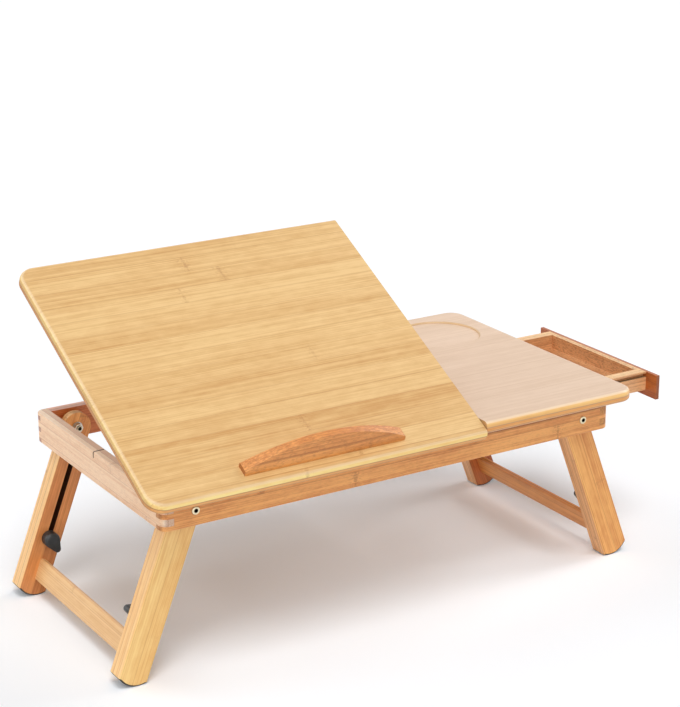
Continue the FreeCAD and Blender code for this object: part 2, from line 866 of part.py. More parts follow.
def front_left_knob(tip_angle):
    """A winged clamp knob with a blind bore for the stud; its tip leans down by the angle."""
    y0 = -slide_inner_y + face_gap
    x, z = leg_point(stud_distance, 0)
    turn = math.radians(tip_angle)
    tip = V(math.cos(turn), 0, -math.sin(turn))
    side = V(math.sin(turn), 0, math.cos(turn))
    centre = V(x, y0, z)
    distance = knob_reach - knob_tip_radius
    lean = math.asin((knob_radius - knob_tip_radius) / distance)

    def rim(middle, radius, sign):
        return middle + (tip * math.sin(lean) + side * (sign * math.cos(lean))) * radius

    far = centre + tip * distance
    edges = [Part.Arc(rim(centre, knob_radius, 1), centre - tip * knob_radius,
                      rim(centre, knob_radius, -1)).toShape(),
             Part.makeLine(rim(centre, knob_radius, -1), rim(far, knob_tip_radius, -1)),
             Part.Arc(rim(far, knob_tip_radius, -1), far + tip * knob_tip_radius,
                      rim(far, knob_tip_radius, 1)).toShape(),
             Part.makeLine(rim(far, knob_tip_radius, 1), rim(centre, knob_radius, 1))]
    body = Part.Face(Part.Wire(edges)).extrude(V(0, knob_height, 0))
    top = edges_where(body, lambda m, d, e: abs(m.y - y0 - knob_height) < 0.01)
    body = body.makeFillet(knob_round, top)
    bore = leg_rod(stud_distance, y0, y0 + stud_in_knob + face_gap, stud_radius + running_fit)
    return one(body.cut(bore))


# Pivot hardware, one set at each corner

def front_left_bolt():
    """A bolt with a sunk head and a hexagon socket, through board, spacer, leg and nut."""
    place = V(-pivot_x, -half_depth + bolt_head_sunk, pivot_z)
    head = Part.makeCylinder(bolt_head_radius, bolt_head_height, place, V(0, -1, 0))
    rim = edges_where(head, lambda m, d, e: abs(m.y - place.y + bolt_head_height) < 0.01)
    head = head.makeFillet(bolt_head_height / 3, rim)
    end_y = nut_y() + nut_height + bolt_past_nut
    shank = rod(place, V(-pivot_x, end_y, pivot_z), bolt_radius)
    socket = hexagon(place.y - bolt_head_height, bolt_socket_depth, bolt_socket_across)
    return one(head.fuse(shank).cut(socket))


def hexagon(y0, depth, across):
    """A hexagonal prism about the front left pivot, from y0 towards the back."""
    radius = across / math.sqrt(3)
    points = [V(-pivot_x + radius * math.cos(math.radians(60 * k)), y0,
                pivot_z + radius * math.sin(math.radians(60 * k))) for k in range(6)]
    return prism(points, V(0, depth, 0))


def washer_y():
    return -leg_outer_y + plank_thickness + face_gap


def nut_y():
    return washer_y() + washer_thickness


def ring(y0, thickness, outer):
    place = V(-pivot_x, y0, pivot_z)
    outside = Part.makeCylinder(outer, thickness, place, V(0, 1, 0))
    return outside.cut(Part.makeCylinder(bolt_radius, thickness, place, V(0, 1, 0)))


def front_left_spacer():
    thickness = spacer_thickness - face_gap
    return ring(-half_depth + apron_thickness, thickness, spacer_radius)


def front_left_washer():
    return ring(washer_y(), washer_thickness, washer_radius)


def front_left_nut():
    place = V(-pivot_x, nut_y(), pivot_z)
    bore = Part.makeCylinder(bolt_radius, nut_height, place, V(0, 1, 0))
    return hexagon(nut_y(), nut_height, nut_across).cut(bore)


def at_corners(shape, sides=(-1, 1)):
    """Copies of a front left piece at the front and rear of the given sides."""
    return [mirrored(shape, side_x, side_y) for side_x in sides for side_y in (-1, 1)]


# Drawer, modelled closed and drawn out to rest

def drawer_top():
    return deck_height - drawer_top_gap


def drawer_box_foot():
    return drawer_top() - drawer_height


def drawer_x_range():
    """The closed box ends at the end board's outer face, with the stop gap."""
    x1 = half_length + drawer_stop_gap
    return x1 - drawer_length, x1


def drawn(shape):
    out = shape.copy()
    out.translate(V(drawer_open_at_rest, 0, 0))
    return out


def drawer_bottom_box(clearance):
    """The bottom board let into the four walls, or its grooves with a clearance."""
    x0, x1 = drawer_x_range()
    reach = drawer_bottom_groove + clearance
    inner = drawer_half_width - drawer_side_thickness + reach
    z0 = drawer_box_foot() + drawer_bottom_rise
    return box(x0 + drawer_wall_thickness - reach, x1 - drawer_wall_thickness + reach,
               -inner, inner, z0 - clearance, z0 + drawer_bottom_thickness + clearance)


def runner_tongue_z():
    """The tongue's range of heights under the deck."""
    z1 = deck_height - runner_drop
    return z1 - runner_tongue_height, z1


def drawer_side(side_y):
    """A side with the runner groove outside and the bottom's groove inside."""
    x0, x1 = drawer_x_range()
    outer = drawer_half_width
    inner = outer - drawer_side_thickness
    ys = sorted((side_y * inner, side_y * outer))
    side = box(x0, x1, ys[0], ys[1], drawer_box_foot(), drawer_top())
    low, high = runner_tongue_z()
    depth = runner_tongue_length
    ys = sorted((side_y * (outer - depth), side_y * outer))
    groove = box(x0, x1, ys[0], ys[1], low - runner_groove_gap, high + runner_groove_gap)
    return one(side.cut([groove, drawer_bottom_box(groove_fit)]))


def drawer_wall(x0, x1, top):
    inner = drawer_half_width - drawer_side_thickness
    wall = box(x0, x1, -inner, inner, drawer_box_foot(), top)
    return one(wall.cut(drawer_bottom_box(groove_fit)))


def drawer_front_wall():
    x1 = drawer_x_range()[1]
    return drawer_wall(x1 - drawer_wall_thickness, x1, drawer_top())


def drawer_back_wall():
    x0 = drawer_x_range()[0]
    return drawer_wall(x0, x0 + drawer_wall_thickness, drawer_top() - drawer_back_drop)


def drawer_face():
    """The thin face that overlaps the end board on both sides."""
    x0 = drawer_x_range()[1]
    reach = drawer_half_width + drawer_face_margin
    face = box(x0, x0 + drawer_face_thickness, -reach, reach,
               apron_foot + drawer_face_foot, drawer_top())
    outer = edges_where(face, lambda m, d, e: abs(m.x - x0 - drawer_face_thickness) < 0.01)
    return face.makeFillet(arris_radius, outer)


def runner_rail(side_y):
    """The rail under the fixed panel whose tongue carries one side of the drawer."""
    x0 = drawer_x_range()[0]
    x1 = half_length - apron_thickness
    near = drawer_half_width + runner_gap
    far = near + runner_thickness
    ys = sorted((side_y * near, side_y * far))
    rail = box(x0, x1, ys[0], ys[1], deck_height - runner_height, deck_height)
    low, high = runner_tongue_z()
    ys = sorted((side_y * near, side_y * (near - runner_tongue_length)))
    tongue = box(x0, x1, ys[0], ys[1], low, high)
    return one(rail.fuse(tongue).cut(runner_screws()))


def runner_screws():
    """Two screws up through each rail into the fixed panel."""
    x0 = drawer_x_range()[0]
    run = half_length - apron_thickness - x0
    y = drawer_half_width + runner_gap + runner_thickness / 2
    screws = []
    for side in (-1, 1):
        for share in (0.2, 0.8):
            head = V(x0 + share * run, side * y, deck_height - runner_height)
            screws.append(screw(head, V(0, 0, 1), runner_screw_length,
                                screw_radius, screw_head_radius))
    return screws


def frame_to_whole_x():
    """From the middle of the frame to the middle of the whole table, drawer out and legs down."""
    drawer_reach = drawer_x_range()[1] + drawer_open_at_rest + drawer_face_thickness
    foot_reach = leg_point(shoulder(), leg_half)[0]
    return (drawer_reach + foot_reach) / 2


def nodes():
    """Every node's shape at rest, by name."""
    made = {
        "front_apron": long_apron(-1),
        "rear_apron": long_apron(1),
        "left_apron": left_apron(),
        "right_end_board": right_end_board(),
        "middle_rail": one(middle_rail()),
        "fixed_panel": fixed_panel(),
        "deck_dowels": group(deck_dowels()),
        "frame_hinge_leaves": group(frame_hinge_leaves()),
        "frame_hinge_screws": group(frame_hinge_screws()),
        "hinge_pins": group(hinge_pins()),
        "left_rack": left_rack(),
        "middle_rack": middle_rack(),
        "rack_screws": group(rack_screws()),
        "front_runner_rail": runner_rail(-1),
        "rear_runner_rail": runner_rail(1),
        "runner_screws": group(runner_screws()),
        "pivot_bolts": group(at_corners(front_left_bolt())),
        "pivot_spacers": group(at_corners(front_left_spacer())),
        "pivot_washers": group(at_corners(front_left_washer())),
        "pivot_nuts": group(at_corners(front_left_nut())),
        "tilt_panel": tilted(tilt_panel_flat()),
        "panel_hinge_leaves": tilted(group(panel_hinge_leaves())),
        "panel_hinge_screws": tilted(group(panel_hinge_screws())),
        "book_ledge": tilted(ledge_flat()),
        "ledge_dowels": tilted(group(ledge_dowels())),
        "prop_hinge_blocks": tilted(group([prop_hinge_block(x) for x in block_centres_x()])),
        "prop_block_screws": tilted(group(block_screws())),
        "prop_arm_left": propped(prop_arm(prop_arms_x[0])),
        "prop_arm_right": propped(prop_arm(prop_arms_x[1])),
        "prop_hinge_rod": propped(prop_hinge_rod()),
        "prop_foot_rod": propped(prop_foot_rod()),
        "drawer_face": drawn(drawer_face()),
        "drawer_front_wall": drawn(drawer_front_wall()),
        "drawer_back_wall": drawn(drawer_back_wall()),
        "drawer_side_front": drawn(drawer_side(-1)),
        "drawer_side_rear": drawn(drawer_side(1)),
        "drawer_bottom": drawn(drawer_bottom_box(0)),
    }
    tip_angles = {
        "front_left": front_left_tip_angle,
        "rear_left": rear_left_tip_angle,
        "front_right": front_right_tip_angle,
        "rear_right": rear_right_tip_angle,
    }
    for name, side_x in (("left", -1), ("right", 1)):
        made[name + "_leg_pads"] = group(at_corners(front_left_leg_pad(), (side_x,)))
        made[name + "_slide_pads"] = group(at_corners(front_left_slide_pad(), (side_x,)))
        made[name + "_clamp_inserts"] = group(at_corners(clamp_insert_ring(), (side_x,)))
        made[name + "_clamp_studs"] = group(at_corners(clamp_stud(), (side_x,)))
        made[name + "_crossbar"] = mirrored(left_crossbar(), side_x, 0)
        for end, side_y in (("front", -1), ("rear", 1)):
            made[end + "_" + name + "_leg"] = mirrored(front_left_leg(), side_x, side_y)
            made[end + "_" + name + "_slide"] = mirrored(front_left_slide(), side_x, side_y)
            knob = front_left_knob(tip_angles[end + "_" + name])
            made[end + "_" + name + "_knob"] = mirrored(knob, side_x, side_y)
    return made


os.makedirs("parts", exist_ok=True)
made = nodes()
for name in sorted(made):
    shape = made[name]
    shape.translate(V(-frame_to_whole_x(), 0, 0))
    shape.exportStep("parts/" + name + ".step")
    size = shape.BoundBox
    print("%-22s solids %d valid %s  %.1f %.1f %.1f" % (
        name, len(shape.Solids), shape.isValid(), size.XLength, size.YLength, size.ZLength))
print("pivot x %.3f z %.3f" % (pivot_x, pivot_z))
print("prop opening %.4f ratio %.5f" % (prop_opening(), prop_opening() / tilt_at_rest))
print("tilt axis y %.3f z %.3f" % (tilt_y, tilt_z))
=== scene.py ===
# %% [markdown]
# # A bamboo bed tray table, dressed for its picture
#
# The table comes in as a finished frame: every board, bolt and knob already has its real size
# and place. What is left to do here is what a photographer and a finisher would do: stand a
# camera where the picture was taken, light the table softly, give each board its own bamboo,
# and model the few pieces whose moulded shape needs softer forms than plain solids have.

# %% Load the frame
import json
import math
import bpy
from mathutils import Matrix, Vector


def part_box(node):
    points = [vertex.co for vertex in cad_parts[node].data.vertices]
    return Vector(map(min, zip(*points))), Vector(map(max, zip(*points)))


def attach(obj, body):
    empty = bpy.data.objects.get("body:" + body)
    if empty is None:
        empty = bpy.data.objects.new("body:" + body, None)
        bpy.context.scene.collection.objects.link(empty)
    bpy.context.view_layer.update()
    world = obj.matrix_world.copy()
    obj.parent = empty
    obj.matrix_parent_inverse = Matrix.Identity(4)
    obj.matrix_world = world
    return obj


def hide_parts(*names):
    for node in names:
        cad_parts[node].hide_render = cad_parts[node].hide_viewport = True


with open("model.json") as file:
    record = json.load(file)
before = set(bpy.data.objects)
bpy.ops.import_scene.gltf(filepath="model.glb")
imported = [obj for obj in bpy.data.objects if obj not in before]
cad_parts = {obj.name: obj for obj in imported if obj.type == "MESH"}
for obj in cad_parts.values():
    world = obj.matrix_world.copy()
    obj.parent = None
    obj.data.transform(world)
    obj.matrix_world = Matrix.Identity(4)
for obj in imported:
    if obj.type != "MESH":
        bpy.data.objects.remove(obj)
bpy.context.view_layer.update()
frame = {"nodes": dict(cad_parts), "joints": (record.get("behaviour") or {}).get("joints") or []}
nodes = frame["nodes"]
joint_place = {joint["name"]: Vector(joint["pos_m"])
               for joint in frame["joints"] if "pos_m" in joint}


# %% [markdown]
# ## Camera
# The picture was taken from the front left, a little above the table, with a long lens that
# keeps the far legs nearly as large as the near ones. A camera needs a place, a direction and a
# focal length. Its direction is given here by the three lines that make up its own axes, which
# is exact, where three angles would have to be found by trial.

# %% Stand the camera
NEAR_CUT = 0.05
FAR_CUT = 60


def stand_camera(place, right, up, forward, focal_mm):
    """A camera at a place, with its own right, up and forward directions."""
    data = bpy.data.cameras.new("table_camera")
    camera = bpy.data.objects.new("table_camera", data)
    bpy.context.scene.collection.objects.link(camera)
    turn = Matrix((right, up, [-v for v in forward])).transposed().to_4x4()
    camera.matrix_world = Matrix.Translation(place) @ turn
    data.lens = focal_mm
    data.clip_start = NEAR_CUT
    data.clip_end = FAR_CUT
    bpy.context.scene.camera = camera
    return camera


camera = stand_camera(
    place=(-1.00591, -1.61763, 0.86170),
    right=(0.850973, -0.525194, -0.004060),
    up=(0.167959, 0.264804, 0.949562),
    forward=(0.497629, 0.808733, -0.313552),
    focal_mm=101.08)
print("camera at", [round(v, 3) for v in camera.location])


# %% [markdown]
# ## Floor
# The table stands on a white sweep with a soft grey shadow under it. A white floor that is only
# lit never looks quite white, and more light would bleach the wood. So the floor is plain white
# paint plus a little glow that only the camera and mirrors see: the open floor turns white,
# and the shadow under the table stays. The paint is a touch cool, because the light that the
# wood throws down is warm, and the shadow in the picture is a neutral grey. A camera under the
# floor looks through it, so that the table's underside can be inspected too.

# %% Lay the floor
SWEEP_WHITE = (0.912, 0.935, 0.966, 1)
SWEEP_GLOW = 0.04
SWEEP_SIZE = 40


def new_material(name):
    """A node material that starts empty."""
    material = bpy.data.materials.new(name)
    material.use_nodes = True
    material.node_tree.nodes.clear()
    return material


def seen_directly(tree):
    """A value that is 1 for camera, mirror and glass rays and 0 for the light itself."""
    path = tree.nodes.new("ShaderNodeLightPath")
    either = tree.nodes.new("ShaderNodeMath")
    either.operation = "MAXIMUM"
    tree.links.new(path.outputs["Is Camera Ray"], either.inputs[0])
    tree.links.new(path.outputs["Is Glossy Ray"], either.inputs[1])
    both = tree.nodes.new("ShaderNodeMath")
    both.operation = "MAXIMUM"
    tree.links.new(either.outputs[0], both.inputs[0])
    tree.links.new(path.outputs["Is Transmission Ray"], both.inputs[1])
    return both.outputs[0]


def floor_paint(glow):
    """White paint that glows a little for direct looks and is clear from below."""
    material = new_material("white_sweep")
    tree = material.node_tree
    paint = tree.nodes.new("ShaderNodeBsdfDiffuse")
    paint.inputs["Color"].default_value = SWEEP_WHITE
    lamp = tree.nodes.new("ShaderNodeEmission")
    amount = tree.nodes.new("ShaderNodeMath")
    amount.operation = "MULTIPLY"
    amount.inputs[1].default_value = glow
    tree.links.new(seen_directly(tree), amount.inputs[0])
    tree.links.new(amount.outputs[0], lamp.inputs["Strength"])
    both = tree.nodes.new("ShaderNodeAddShader")
    tree.links.new(paint.outputs[0], both.inputs[0])
    tree.links.new(lamp.outputs[0], both.inputs[1])
    side = tree.nodes.new("ShaderNodeNewGeometry")
    from_below = tree.nodes.new("ShaderNodeMath")
    from_below.operation = "MULTIPLY"
    tree.links.new(side.outputs["Backfacing"], from_below.inputs[0])
    tree.links.new(seen_directly(tree), from_below.inputs[1])
    clear = tree.nodes.new("ShaderNodeBsdfTransparent")
    either_side = tree.nodes.new("ShaderNodeMixShader")
    tree.links.new(from_below.outputs[0], either_side.inputs["Fac"])
    tree.links.new(both.outputs[0], either_side.inputs[1])
    tree.links.new(clear.outputs[0], either_side.inputs[2])
    out = tree.nodes.new("ShaderNodeOutputMaterial")
    tree.links.new(either_side.outputs[0], out.inputs["Surface"])
    return material


bpy.ops.object.select_all(action="DESELECT")
bpy.ops.mesh.primitive_plane_add(size=SWEEP_SIZE, location=(0, 0, 0))
floor = bpy.context.object
floor.name = "floor"
floor.data.materials.append(floor_paint(glow=SWEEP_GLOW))
print("floor", floor.dimensions[:2])


# %% [markdown]
# ## Light
# The shadow lies almost straight under the table and fades out on all sides, so the light comes
# from several wide sources at once: one nearly overhead, one from the front left that opens the
# upright faces, one from the right and one from the back left. A sun lamp with a wide angle
# gives the soft edge of a softbox and lights the floor evenly right to the horizon, where a
# softbox would leave it darker. The room around adds little light, because the shadow in the
# middle is quite deep, but it looks white to the camera and in mirrors. The view stays plain
# Standard, so a colour comes out about as it is written.

# %% Light the table
ROOM_LIGHT = 0.06
ROOM_LOOK = 1.0


def softbox(name, towards, strength, spread):
    """A wide sun whose light travels from a direction above the table."""
    data = bpy.data.lights.new(name, "SUN")
    data.energy = strength
    data.angle = math.radians(spread)
    lamp = bpy.data.objects.new(name, data)
    bpy.context.scene.collection.objects.link(lamp)
    lamp.rotation_euler = Vector(towards).to_track_quat("Z", "Y").to_euler()
    return lamp


softbox("key_light", towards=(-0.10, -0.36, 1.00), strength=1.50, spread=30)
softbox("front_light", towards=(-0.80, -1.39, 1.00), strength=1.18, spread=50)
softbox("right_light", towards=(1.60, 0.00, 1.00), strength=1.16, spread=30)
softbox("back_light", towards=(-1.10, 1.10, 1.00), strength=1.03, spread=50)

world = bpy.data.worlds.new("pale_room")
bpy.context.scene.world = world
world.use_nodes = True
world_tree = world.node_tree
world_tree.nodes.clear()
room = world_tree.nodes.new("ShaderNodeBackground")
room.inputs["Color"].default_value = (1, 1, 1, 1)
room_level = world_tree.nodes.new("ShaderNodeMapRange")
room_level.inputs["To Min"].default_value = ROOM_LIGHT
room_level.inputs["To Max"].default_value = ROOM_LOOK
world_tree.links.new(seen_directly(world_tree), room_level.inputs["Value"])
world_tree.links.new(room_level.outputs["Result"], room.inputs["Strength"])
room_out = world_tree.nodes.new("ShaderNodeOutputWorld")
world_tree.links.new(room.outputs[0], room_out.inputs["Surface"])
bpy.context.scene.view_settings.view_transform = "Standard"


# %% [markdown]
# ## Short ways to wire a material
# A material is a small tree of nodes. Adding and joining them one by one takes many lines, so
# this helper keeps the tree at hand and gives each common step a short name.

# %% Wiring helpers
def srgb(r, g, b):
    """A colour as it is read from a paint chart, 0 to 255, in the renderer's own scale."""
    def scale(v):
        v = v / 255
        return v / 12.92 if v <= 0.04045 else ((v + 0.055) / 1.055) ** 2.4
    return (scale(r), scale(g), scale(b), 1)


class Wires:
    """Short ways to add and join the nodes of one tree."""

    def __init__(self, tree):
        self.tree = tree

    def node(self, kind, **inputs):
        """A node of a kind, with its inputs given by name."""
        made = self.tree.nodes.new(kind)
        for key, value in inputs.items():
            self.feed(made.inputs[key.replace("_", " ")], value)
        return made

    def feed(self, socket, value):
        """Joins a socket to another one, or sets its plain value."""
        if isinstance(value, bpy.types.NodeSocket):
            self.tree.links.new(value, socket)
        else:
            socket.default_value = value

    def math(self, operation, a, b=0.0, c=0.0):
        """One step of arithmetic."""
        made = self.tree.nodes.new("ShaderNodeMath")
        made.operation = operation
        for socket, value in zip(made.inputs, (a, b, c)):
            self.feed(socket, value)
        return made.outputs[0]

    def times(self, *values):
        """The product of all the values."""
        product = values[0]
        for value in values[1:]:
            product = self.math("MULTIPLY", product, value)
        return product

    def blend(self, amount, a, b):
        """Colour a where the amount is 0 and colour b where it is 1."""
        made = self.tree.nodes.new("ShaderNodeMix")
        made.data_type = "RGBA"
        self.feed(made.inputs["Factor"], amount)
        self.feed(made.inputs["A"], a)
        self.feed(made.inputs["B"], b)
        return made.outputs["Result"]

    def ramp(self, value, low, high, to_low=0.0, to_high=1.0):
        """A soft step from one value to another while the given one goes from low to high."""
        made = self.tree.nodes.new("ShaderNodeMapRange")
        made.interpolation_type = "SMOOTHSTEP"
        for name, given in (("Value", value), ("From Min", low), ("From Max", high),
                            ("To Min", to_low), ("To Max", to_high)):
            self.feed(made.inputs[name], given)
        return made.outputs["Result"]

    def within(self, value, middle, half, soft=0.0002):
        """1 where a value lies within a distance of a middle, with a soft rim."""
        away = self.math("ABSOLUTE", self.math("SUBTRACT", value, middle))
        return self.ramp(away, half - soft, half + soft, 1.0, 0.0)

    def vector(self, operation, a, b):
        """One step of arithmetic with vectors."""
        made = self.tree.nodes.new("ShaderNodeVectorMath")
        made.operation = operation
        self.feed(made.inputs[0], a)
        self.feed(made.inputs[1], b)
        return made.outputs[0]

    def parts(self, vector):
        """The X, Y and Z of a vector."""
        return self.node("ShaderNodeSeparateXYZ", Vector=vector).outputs

    def random(self, x, y, z=0.0):
        """A random number that is the same all through one whole-numbered cell."""
        cell = self.node("ShaderNodeCombineXYZ", X=x, Y=y, Z=z).outputs[0]
        return self.node("ShaderNodeTexWhiteNoise", Vector=cell).outputs["Value"]

    def noise(self, place, along, across, detail, roughness=0.5):
        """Noise stretched along X: `along` and `across` are its lumps in a metre."""
        made = self.tree.nodes.new("ShaderNodeTexNoise")
        self.feed(made.inputs["Vector"], self.vector("MULTIPLY", place, (along, across, across)))
        made.inputs["Scale"].default_value = 1.0
        made.inputs["Detail"].default_value = detail
        made.inputs["Roughness"].default_value = roughness
        return self.math("SUBTRACT", made.outputs["Fac"], 0.5)


print("helpers", [name for name in vars(Wires) if not name.startswith("_")])


# %% [markdown]
# ## Bamboo
# Each board is glued up from strips of bamboo. What the eye reads as bamboo is, from large to
# small: strips that differ a little in tone, thin dark glue lines between them, long straight
# streaks, very fine fibres, and here and there a knuckle, the thin dark bar with a speckled rim
# where the cane had a ring. End grain is darker and dotted. All of it is worked out from the
# place on the board, so it runs through edges and corners as in real wood. The recipe is one
# node group. It sees the grain along X and the board's thickness along Z, and each board gives
# it its own tones, strip width, contrast and share of knuckles and speckles. Every strip draws
# one random number, which sets its tone, its piece of the pattern and where its knuckles sit.

# %% The bamboo recipe
GLUE_LINE = 0.00020
KNUCKLE_PITCH = 0.24
KNUCKLE_WOBBLE = 0.009
LAYER_OFFSET = 0.37
STRIP_OFFSET = 7.31


def bamboo_recipe():
    """The node group that works out colour, roughness and height from a place on a board."""
    group = bpy.data.node_groups.new("bamboo_strips", "ShaderNodeTree")
    face = group.interface
    for name in ("Place", "Facing"):
        face.new_socket(name, in_out="INPUT", socket_type="NodeSocketVector")
    for name in ("Light", "Dark", "End"):
        face.new_socket(name, in_out="INPUT", socket_type="NodeSocketColor")
    for name in ("Strip", "Layer", "Contrast", "Knuckles", "Speckles"):
        face.new_socket(name, in_out="INPUT", socket_type="NodeSocketFloat")
    face.new_socket("Color", in_out="OUTPUT", socket_type="NodeSocketColor")
    face.new_socket("Roughness", in_out="OUTPUT", socket_type="NodeSocketFloat")
    face.new_socket("Height", in_out="OUTPUT", socket_type="NodeSocketFloat")
    w = Wires(group)
    given = group.nodes.new("NodeGroupInput").outputs
    place = w.parts(given["Place"])
    facing = w.parts(given["Facing"])

    deep = w.math("DIVIDE", place["Z"], given["Layer"])
    layer = w.math("FLOOR", deep)
    wide = w.math("MULTIPLY_ADD", layer, LAYER_OFFSET,
                  w.math("DIVIDE", place["Y"], given["Strip"]))
    strip = w.math("FLOOR", wide)
    tone = w.random(strip, layer)

    def glue_line(count, size):
        """A dark line wherever a count of strips or layers passes a whole number."""
        side = w.math("ABSOLUTE", w.math("SUBTRACT", w.math("FRACT", count), 0.5))
        half = w.math("DIVIDE", GLUE_LINE, size)
        return w.ramp(side, w.math("SUBTRACT", 0.5, w.math("MULTIPLY", half, 2.2)),
                      w.math("SUBTRACT", 0.5, half))

    on_side = w.ramp(w.math("ABSOLUTE", facing["Z"]), 0.5, 0.8, 1.0, 0.0)
    seam = w.math("MAXIMUM", w.times(glue_line(wide, given["Strip"]), 0.55),
                  w.times(glue_line(deep, given["Layer"]), on_side))

    shift = w.node("ShaderNodeCombineXYZ", X=w.times(tone, 3.0), Y=w.times(tone, 1.7)).outputs[0]
    own = w.vector("ADD", given["Place"], shift)
    fibre = w.noise(own, 13.0, 1500.0, 1.0)
    line = w.noise(own, 2.4, 720.0, 2.0)
    streak = w.noise(own, 4.2, 260.0, 4.0, 0.62)
    drift = w.noise(own, 9.0, 34.0, 3.0)
    mottle = w.noise(own, 60.0, 170.0, 3.0, 0.6)

    turn = w.math("MULTIPLY_ADD", tone, STRIP_OFFSET,
                  w.math("DIVIDE", place["X"], KNUCKLE_PITCH))
    from_bar = w.times(w.math("ABSOLUTE", w.math("SUBTRACT", w.math("FRACT", turn), 0.5)),
                       KNUCKLE_PITCH)
    from_bar = w.math("MULTIPLY_ADD", streak, KNUCKLE_WOBBLE, from_bar)
    chosen = w.ramp(w.random(strip, layer, w.math("FLOOR", turn)), 0.30, 0.80)
    bar = w.times(w.ramp(from_bar, 0.0004, 0.0018, 1.0, 0.0), w.ramp(fibre, -0.16, 0.08, 0.25))
    rim = w.times(w.ramp(from_bar, 0.002, 0.010, 1.0, 0.0),
                  w.ramp(w.noise(own, 420.0, 800.0, 1.0), -0.02, 0.12), 0.55)
    knuckle = w.times(w.math("MAXIMUM", bar, rim), chosen, given["Knuckles"])

    mixed = w.times(w.math("SUBTRACT", tone, 0.5), 0.50)
    for amount, value in ((1.2, streak), (1.3, line), (0.8, drift), (0.9, mottle), (0.8, fibre)):
        mixed = w.math("MULTIPLY_ADD", value, amount, mixed)
    mixed = w.math("MULTIPLY_ADD", mixed, given["Contrast"], 0.45)
    colour = w.blend(w.node("ShaderNodeClamp", Value=mixed).outputs[0],
                     given["Light"], given["Dark"])
    speck = w.times(w.ramp(w.noise(own, 230.0, 620.0, 2.0, 0.6), -0.02, 0.16), given["Speckles"])
    for amount in (speck, w.times(knuckle, 0.6), w.times(seam, 0.55)):
        colour = w.blend(amount, colour, given["End"])

    end = w.ramp(w.math("ABSOLUTE", facing["X"]), 0.72, 0.92)
    dots = w.node("ShaderNodeTexVoronoi", Vector=given["Place"], Scale=900.0)
    dot = w.ramp(dots.outputs["Distance"], 0.12, 0.42, 0.55, 0.0)
    end_colour = w.blend(dot, w.blend(0.45, colour, given["End"]), given["End"])
    colour = w.blend(end, colour, end_colour)

    rough = w.math("MULTIPLY_ADD", streak, 0.16, 0.44)
    rough = w.math("MULTIPLY_ADD", end, 0.14, rough)
    height = w.math("MULTIPLY_ADD", fibre, 0.6, w.times(streak, 0.5))
    height = w.math("SUBTRACT", height, w.times(seam, 0.7))
    out = group.nodes.new("NodeGroupOutput")
    for name, value in (("Color", colour), ("Roughness", rough), ("Height", height)):
        w.feed(out.inputs[name], value)
    return group


recipe = bamboo_recipe()
print("bamboo recipe nodes", len(recipe.nodes))


# %% [markdown]
# ## A material for one board
# A board's grain follows its length, and boards lie in all directions: along the table, across
# it, down a splayed leg, or up a tilted panel. The place on the board is moved to the board's
# own origin and turned, so that the recipe always sees the grain along X and the thickness
# along Z, and a shift gives each board its own piece of the pattern. The edges of a board cut
# across the layers and may have other tones than its faces: one pair of tones for the whole
# edge, or a lower and an upper pair that meet at a given height. A rounded upper rim gets a
# painted highlight: it is painted paler. A painted shade darkens the places where a narrow
# slot, groove or saw cut, or a panel's overhang, keeps out the light. The varnish is a thin
# satin coat.

# %% Dress one board
# CREVICE is the colour of all painted shade in cuts, slots, grooves and under overhangs.
CREVICE = srgb(44, 17, 6)
LOWER_SEAM = 0.45
SEAM_HALF = 0.00040
SEAM_DARKNESS = 0.75
PLY_SOFT = 0.0003
PAINTED_RIM_SHARE = 0.32


